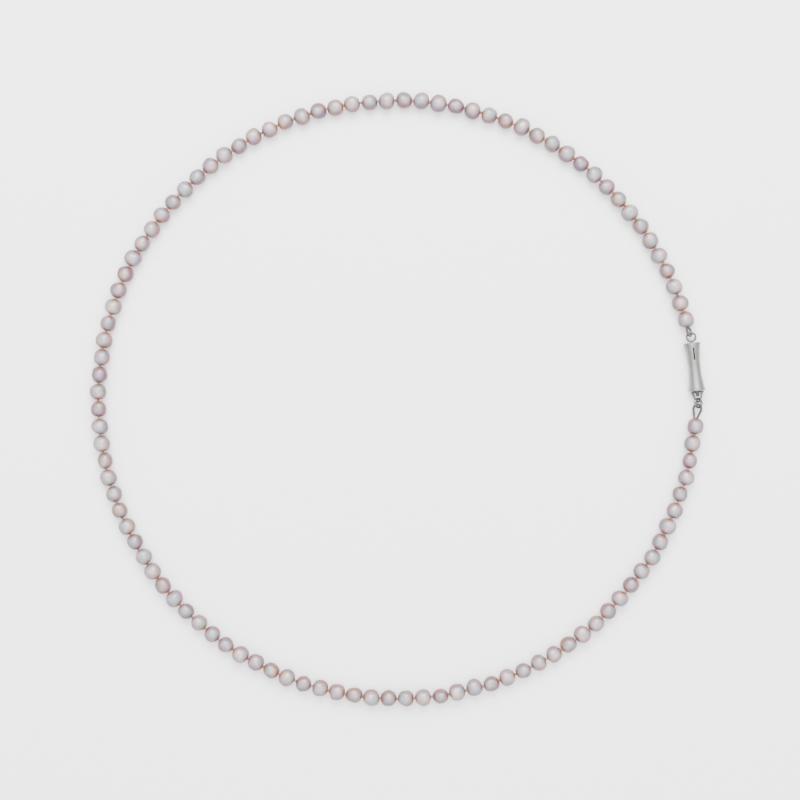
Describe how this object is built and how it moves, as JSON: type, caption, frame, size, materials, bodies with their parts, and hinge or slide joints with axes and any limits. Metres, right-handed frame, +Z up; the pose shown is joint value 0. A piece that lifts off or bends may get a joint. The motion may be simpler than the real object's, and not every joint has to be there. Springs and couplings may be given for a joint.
{
  "type": "pearl necklace",
  "caption": "Single strand of small knotted freshwater pearls in a closed ring, joined by a waisted silver tube clasp with a push-in spring tongue.",
  "frame": {"origin": "centre of the loop, on the surface that the necklace rests on", "axes": "+Z up from that surface, the clasp on +X with its axis along Y, its cap end towards +Y and its mouth towards -Y"},
  "size_m": [0.1472, 0.1471, 0.0041],
  "materials": {
    "pearl_nacre": "satin nacre, lavender to silvery grey with peach at the drill holes",
    "silk_thread": "twisted silk, cream to peach",
    "polished_silver": "polished",
    "spring_silver": "satin, rolled strip",
    "silver_gimp": "bright coiled wire"
  },
  "bodies": {
    "clasp": {"clasp_body": "polished_silver", "end_cap": "polished_silver", "cap_eye": "polished_silver", "mouth_rim": "polished_silver"},
    "tongue": {"tongue_strip": "spring_silver", "tongue_yoke": "polished_silver", "tongue_bail": "polished_silver"},
    "leaf": {"spring_leaf": "spring_silver"},
    "ring": {"jump_ring": "polished_silver"},
    "strand_01": {"pearls_01": "pearl_nacre", "silk_01": "silk_thread", "gimp_tongue": "silver_gimp"},
    "strand_02": {"pearls_02": "pearl_nacre", "silk_02": "silk_thread"},
    "strand_03": {"pearls_03": "pearl_nacre", "silk_03": "silk_thread"},
    "strand_04": {"pearls_04": "pearl_nacre", "silk_04": "silk_thread"},
    "strand_05": {"pearls_05": "pearl_nacre", "silk_05": "silk_thread"},
    "strand_06": {"pearls_06": "pearl_nacre", "silk_06": "silk_thread"},
    "strand_07": {"pearls_07": "pearl_nacre", "silk_07": "silk_thread"},
    "strand_08": {"pearls_08": "pearl_nacre", "silk_08": "silk_thread"},
    "strand_09": {"pearls_09": "pearl_nacre", "silk_09": "silk_thread"},
    "strand_10": {"pearls_10": "pearl_nacre", "silk_10": "silk_thread"},
    "strand_11": {"pearls_11": "pearl_nacre", "silk_11": "silk_thread"},
    "strand_12": {"pearls_12": "pearl_nacre", "silk_12": "silk_thread"},
    "strand_13": {"pearls_13": "pearl_nacre", "silk_13": "silk_thread"},
    "strand_14": {"pearls_14": "pearl_nacre", "silk_14": "silk_thread"},
    "strand_15": {"pearls_15": "pearl_nacre", "silk_15": "silk_thread"},
    "strand_16": {"pearls_16": "pearl_nacre", "silk_16": "silk_thread"},
    "strand_17": {"pearls_17": "pearl_nacre", "silk_17": "silk_thread"},
    "strand_18": {"pearls_18": "pearl_nacre", "silk_18": "silk_thread"},
    "strand_19": {"pearls_19": "pearl_nacre", "silk_19": "silk_thread"},
    "strand_20": {"pearls_20": "pearl_nacre", "silk_20": "silk_thread"},
    "strand_21": {"pearls_21": "pearl_nacre", "silk_21": "silk_thread", "gimp_cap": "silver_gimp"}
  },
  "joints": [
    {"name": "tongue_slide", "type": "slide", "parent": "clasp", "child": "tongue", "axis": [0, -1, 0], "range_m": [0, 0.012]},
    {"name": "leaf_press", "type": "hinge", "parent": "tongue", "child": "leaf", "pos_m": [0.0716, 0.00215, 0.00179], "axis": [-1, 0, 0], "range_deg": [-3.5, 2], "stiffness_Nm_per_rad": 0.02, "springref_deg": 2},
    {"name": "ring_swing", "type": "hinge", "parent": "tongue", "child": "ring", "pos_m": [0.0716, -0.00877, 0.00205], "axis": [0, 1, 0], "range_deg": [0, 40]},
    {"name": "link_flex", "type": "hinge", "parent": "ring", "child": "strand_01", "pos_m": [0.0716, -0.0098, 0.00205], "axis": [0, 0, 1], "range_deg": [-4, 0]},
    {"name": "knot_flex_01", "type": "hinge", "parent": "strand_01", "child": "strand_02", "pos_m": [0.06586, -0.02809, 0.00205], "axis": [0, 0, 1], "range_deg": [-2.74, 2.74]},
    {"name": "knot_flex_02", "type": "hinge", "parent": "strand_02", "child": "strand_03", "pos_m": [0.05506, -0.04577, 0.00205], "axis": [0, 0, 1], "range_deg": [0, 0.82]},
    {"name": "knot_flex_03", "type": "hinge", "parent": "strand_03", "child": "strand_04", "pos_m": [0.03966, -0.05961, 0.00205], "axis": [0, 0, 1], "range_deg": [-8.01, 8.01]},
    {"name": "knot_flex_04", "type": "hinge", "parent": "strand_04", "child": "strand_05", "pos_m": [0.02093, -0.06847, 0.00205], "axis": [0, 0, 1], "range_deg": [0, 0.83]},
    {"name": "knot_flex_05", "type": "hinge", "parent": "strand_05", "child": "strand_06", "pos_m": [0.00046, -0.0716, 0.00205], "axis": [0, 0, 1], "range_deg": [-5.93, 5.93]},
    {"name": "knot_flex_06", "type": "hinge", "parent": "strand_06", "child": "strand_07", "pos_m": [-0.02006, -0.06873, 0.00205], "axis": [0, 0, 1], "range_deg": [0, 0.88]},
    {"name": "knot_flex_07", "type": "hinge", "parent": "strand_07", "child": "strand_08", "pos_m": [-0.0389, -0.06011, 0.00205], "axis": [0, 0, 1], "range_deg": [-2.02, 2.02]},
    {"name": "knot_flex_08", "type": "hinge", "parent": "strand_08", "child": "strand_09", "pos_m": [-0.05448, -0.04646, 0.00205], "axis": [0, 0, 1], "range_deg": [0, 0.93]},
    {"name": "knot_flex_09", "type": "hinge", "parent": "strand_09", "child": "strand_10", "pos_m": [-0.0655, -0.02892, 0.00205], "axis": [0, 0, 1], "range_deg": [-1.01, 1.01]},
    {"name": "knot_flex_10", "type": "hinge", "parent": "strand_10", "child": "strand_11", "pos_m": [-0.07104, -0.00896, 0.00205], "axis": [0, 0, 1], "range_deg": [0, 0.93]},
    {"name": "knot_flex_11", "type": "hinge", "parent": "strand_11", "child": "strand_12", "pos_m": [-0.07119, 0.00763, 0.00205], "axis": [0, 0, 1], "range_deg": [-8, 8]},
    {"name": "knot_flex_12", "type": "hinge", "parent": "strand_12", "child": "strand_13", "pos_m": [-0.06603, 0.02769, 0.00205], "axis": [0, 0, 1], "range_deg": [0, 0.91]},
    {"name": "knot_flex_13", "type": "hinge", "parent": "strand_13", "child": "strand_14", "pos_m": [-0.05534, 0.04543, 0.00205], "axis": [0, 0, 1], "range_deg": [-1.93, 1.93]},
    {"name": "knot_flex_14", "type": "hinge", "parent": "strand_14", "child": "strand_15", "pos_m": [-0.04002, 0.05937, 0.00205], "axis": [0, 0, 1], "range_deg": [0, 0.86]},
    {"name": "knot_flex_15", "type": "hinge", "parent": "strand_15", "child": "strand_16", "pos_m": [-0.02135, 0.06834, 0.00205], "axis": [0, 0, 1], "range_deg": [-3.06, 3.06]},
    {"name": "knot_flex_16", "type": "hinge", "parent": "strand_16", "child": "strand_17", "pos_m": [-0.00089, 0.07159, 0.00205], "axis": [0, 0, 1], "range_deg": [0, 0.8]},
    {"name": "knot_flex_17", "type": "hinge", "parent": "strand_17", "child": "strand_18", "pos_m": [0.01964, 0.06885, 0.00205], "axis": [0, 0, 1], "range_deg": [-4.41, 4.41]},
    {"name": "knot_flex_18", "type": "hinge", "parent": "strand_18", "child": "strand_19", "pos_m": [0.03853, 0.06035, 0.00205], "axis": [0, 0, 1], "range_deg": [0, 0.77]},
    {"name": "knot_flex_19", "type": "hinge", "parent": "strand_19", "child": "strand_20", "pos_m": [0.05419, 0.04679, 0.00205], "axis": [0, 0, 1], "range_deg": [-8.39, 8.39]},
    {"name": "knot_flex_20", "type": "hinge", "parent": "strand_20", "child": "strand_21", "pos_m": [0.06532, 0.02932, 0.00205], "axis": [0, 0, 1], "range_deg": [0, 0.81]}
  ],
  "couplings": [
    {"joint": "link_flex", "follows": "tongue_slide", "rad_per_m": -5.7777},
    {"joint": "knot_flex_01", "follows": "knot_flex_11", "ratio": -0.33895},
    {"joint": "knot_flex_02", "follows": "tongue_slide", "rad_per_m": 1.1615},
    {"joint": "knot_flex_03", "follows": "knot_flex_11", "ratio": 0.99777},
    {"joint": "knot_flex_04", "follows": "tongue_slide", "rad_per_m": 1.1759},
    {"joint": "knot_flex_05", "follows": "knot_flex_11", "ratio": -0.73807},
    {"joint": "knot_flex_06", "follows": "tongue_slide", "rad_per_m": 1.2366},
    {"joint": "knot_flex_07", "follows": "knot_flex_11", "ratio": -0.24993},
    {"joint": "knot_flex_08", "follows": "tongue_slide", "rad_per_m": 1.314},
    {"joint": "knot_flex_09", "follows": "knot_flex_11", "ratio": -0.12257},
    {"joint": "knot_flex_10", "follows": "tongue_slide", "rad_per_m": 1.32},
    {"joint": "knot_flex_12", "follows": "tongue_slide", "rad_per_m": 1.2842},
    {"joint": "knot_flex_13", "follows": "knot_flex_11", "ratio": -0.23865},
    {"joint": "knot_flex_14", "follows": "tongue_slide", "rad_per_m": 1.2191},
    {"joint": "knot_flex_15", "follows": "knot_flex_11", "ratio": -0.37905},
    {"joint": "knot_flex_16", "follows": "tongue_slide", "rad_per_m": 1.127},
    {"joint": "knot_flex_17", "follows": "knot_flex_11", "ratio": -0.54765},
    {"joint": "knot_flex_18", "follows": "tongue_slide", "rad_per_m": 1.0778},
    {"joint": "knot_flex_19", "follows": "knot_flex_11", "ratio": 1.045},
    {"joint": "knot_flex_20", "follows": "tongue_slide", "rad_per_m": 1.1358}
  ]
}
